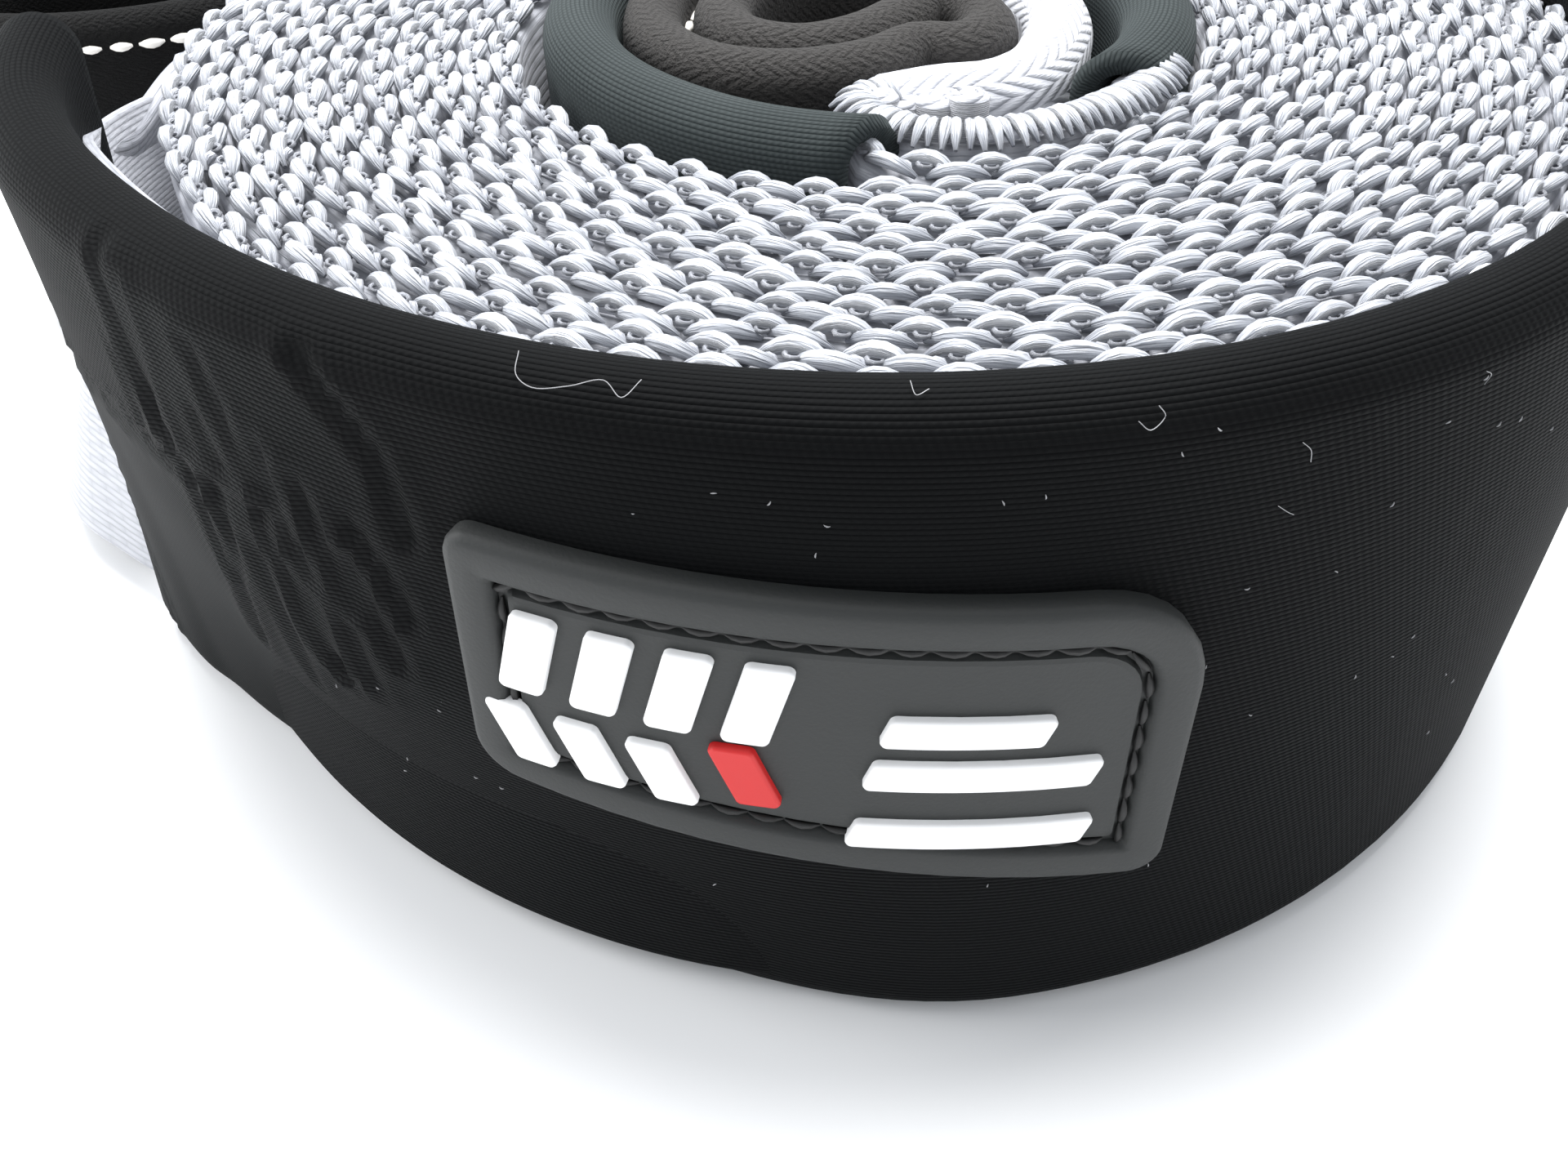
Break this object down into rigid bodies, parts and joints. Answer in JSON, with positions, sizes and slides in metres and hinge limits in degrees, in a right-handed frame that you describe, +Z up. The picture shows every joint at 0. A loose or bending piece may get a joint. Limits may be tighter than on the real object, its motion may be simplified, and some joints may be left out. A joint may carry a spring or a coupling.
{
  "type": "tow strap",
  "caption": "Rolled tow strap of flat woven webbing with a sewn eye at each end, neoprene sleeves on its first and last turns, and a rubber badge.",
  "frame": {"origin": "centre of the whole part's box, on the floor that the roll lies on", "axes": "+Z up along the roll's axis, -Y towards the front with the badge, +X to the right"},
  "size_m": [0.2456, 0.1918, 0.0808],
  "materials": {
    "webbing": "woven polyester yarns, light silver grey with a slight sheen",
    "outer_neoprene": "matt black knit face on neoprene",
    "inner_neoprene": "matt dark slate knit face on neoprene",
    "badge_rubber": "satin moulded soft rubber",
    "black_textile": "matt black woven textile",
    "grey_textile": "matt dark grey woven textile, slightly fuzzy"
  },
  "bodies": {
    "root": {"webbing": "webbing", "outer_sleeve": "outer_neoprene", "inner_sleeve": "inner_neoprene", "badge": "badge_rubber", "outer_eye_guard": "black_textile", "inner_eye_guard": "grey_textile"}
  },
  "joints": []
}
